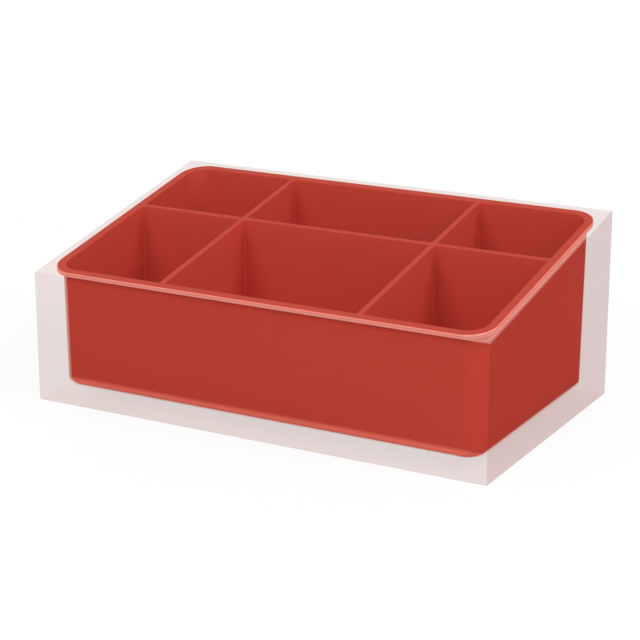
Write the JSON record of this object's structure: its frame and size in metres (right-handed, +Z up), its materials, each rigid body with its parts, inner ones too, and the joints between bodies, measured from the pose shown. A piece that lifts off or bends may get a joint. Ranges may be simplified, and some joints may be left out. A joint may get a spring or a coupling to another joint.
{
  "type": "bathroom organizer",
  "caption": "Slant-topped bathroom organizer: a thick clear shell with a red lift-out insert divided into bays; stands free on its flat base.",
  "frame": {"origin": "on the resting plane, under the middle of the clear shell", "axes": "+X along the front, to the right as seen from the low front; +Y from the low front to the high back; +Z up"},
  "size_m": [0.24, 0.141, 0.0929],
  "materials": {
    "clear_plastic": "polished",
    "red_plastic": "satin"
  },
  "bodies": {
    "shell": {"clear_shell": "clear_plastic"},
    "insert": {"insert_tray": "red_plastic"}
  },
  "joints": [
    {"name": "insert_lift", "type": "slide", "parent": "shell", "child": "insert", "axis": [0, 0, 1], "range_m": [0, 0.1]}
  ]
}
